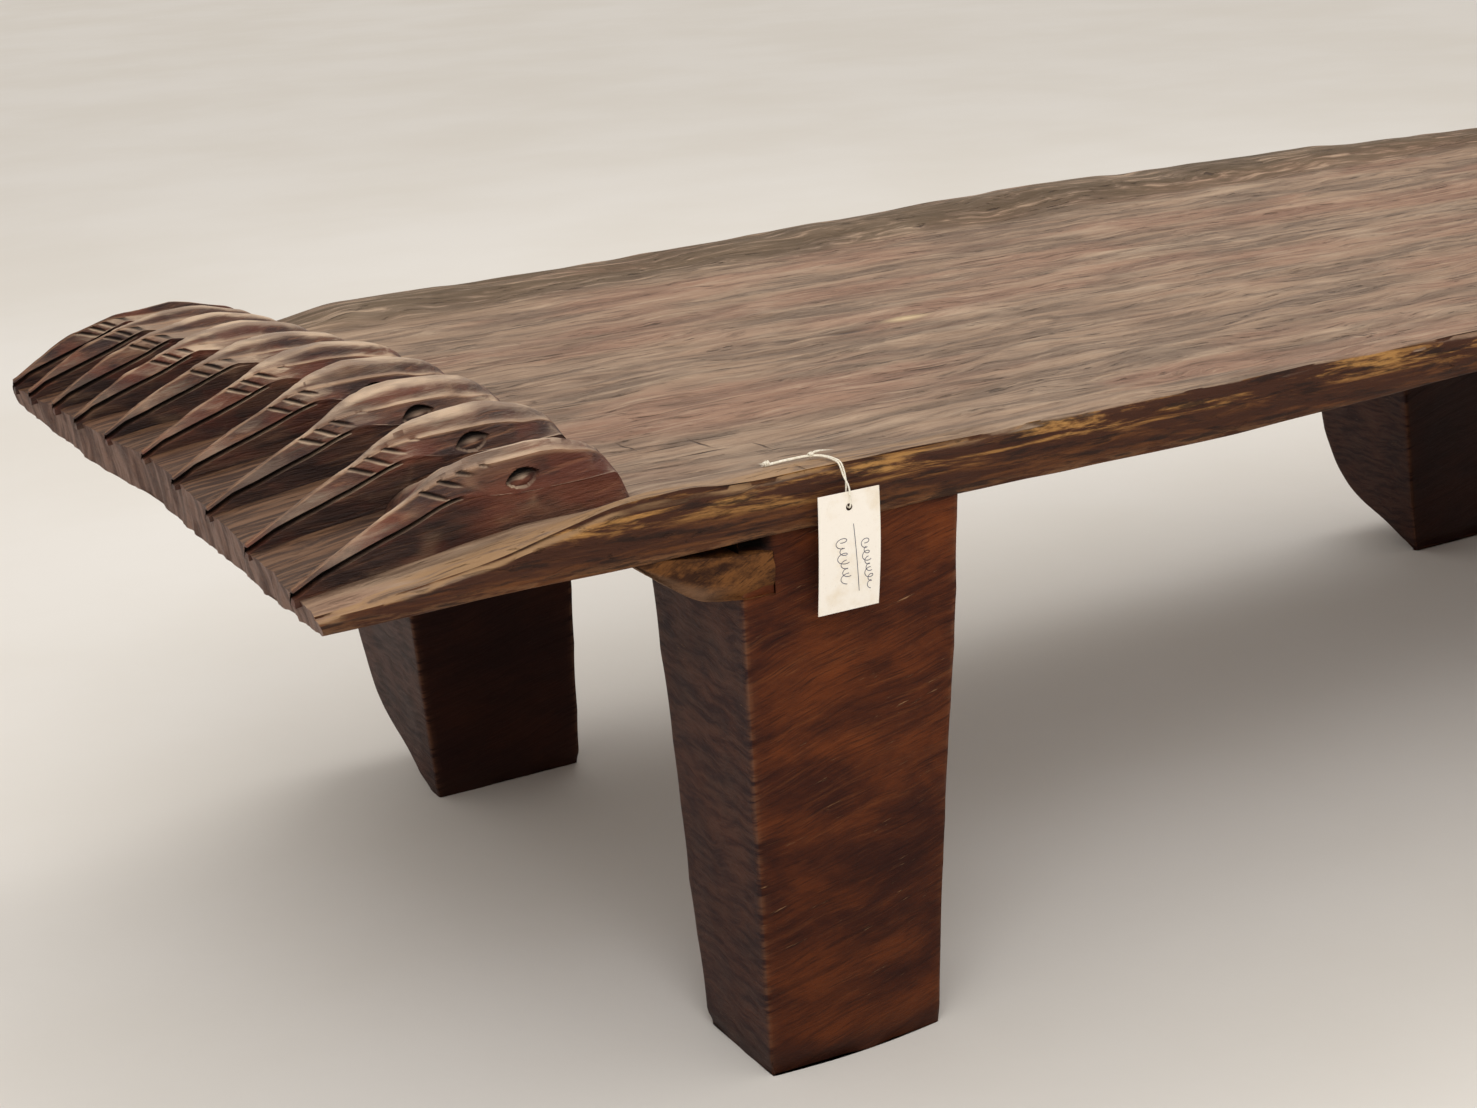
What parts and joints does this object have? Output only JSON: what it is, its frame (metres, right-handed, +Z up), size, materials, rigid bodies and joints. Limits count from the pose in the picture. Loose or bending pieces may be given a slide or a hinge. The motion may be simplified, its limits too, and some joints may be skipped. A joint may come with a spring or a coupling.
{
  "type": "low carved log bed table",
  "caption": "Low bed-like table hewn from one log: dished top, four block legs and a headrest carved as a row of long-beaked bird heads, with a paper tag hanging on a string at one edge.",
  "frame": {"origin": "centre of the bounding box of the wooden bed, on the floor plane between the four feet", "axes": "+X from the carved head end to the foot end, +Y from the near long edge to the far one, +Z up"},
  "size_m": [1.84, 0.7734, 0.456],
  "materials": {
    "top_wood": "worn, dry, hand-hewn grey-brown surface with reddish tints",
    "carved_wood": "knife-carved, worn smooth on the crests",
    "leg_wood": "dark red-brown, adzed faces with a dull sheen",
    "raw_wood": "rough broken sapwood, matte",
    "string": "twisted cotton",
    "paper": "uncoated white card"
  },
  "bodies": {
    "bed": {"bed_panel": "top_wood", "near_rim": "top_wood", "far_rim": "top_wood", "head_ledge": "carved_wood", "bird_01": "carved_wood", "bird_02": "carved_wood", "bird_03": "carved_wood", "bird_04": "carved_wood", "bird_05": "carved_wood", "bird_06": "carved_wood", "bird_07": "carved_wood", "bird_08": "carved_wood", "bird_09": "carved_wood", "bird_10": "carved_wood", "leg_head_near": "leg_wood", "leg_head_far": "leg_wood", "leg_foot_near": "leg_wood", "leg_foot_far": "leg_wood", "shoulder_block": "raw_wood", "string_top": "string", "slip_knot": "string", "end_knot": "string"},
    "string_loop": {"string_drop": "string"},
    "tag": {"hang_tag": "paper"}
  },
  "joints": [
    {"name": "string_swing", "type": "hinge", "parent": "bed", "child": "string_loop", "pos_m": [-0.563, -0.38, 0.4209], "axis": [0, 1, 0], "range_deg": [-40, 40]},
    {"name": "tag_turn", "type": "hinge", "parent": "string_loop", "child": "tag", "pos_m": [-0.563, -0.39, 0.393], "axis": [0, 1, 0], "range_deg": [-35, 35]}
  ]
}
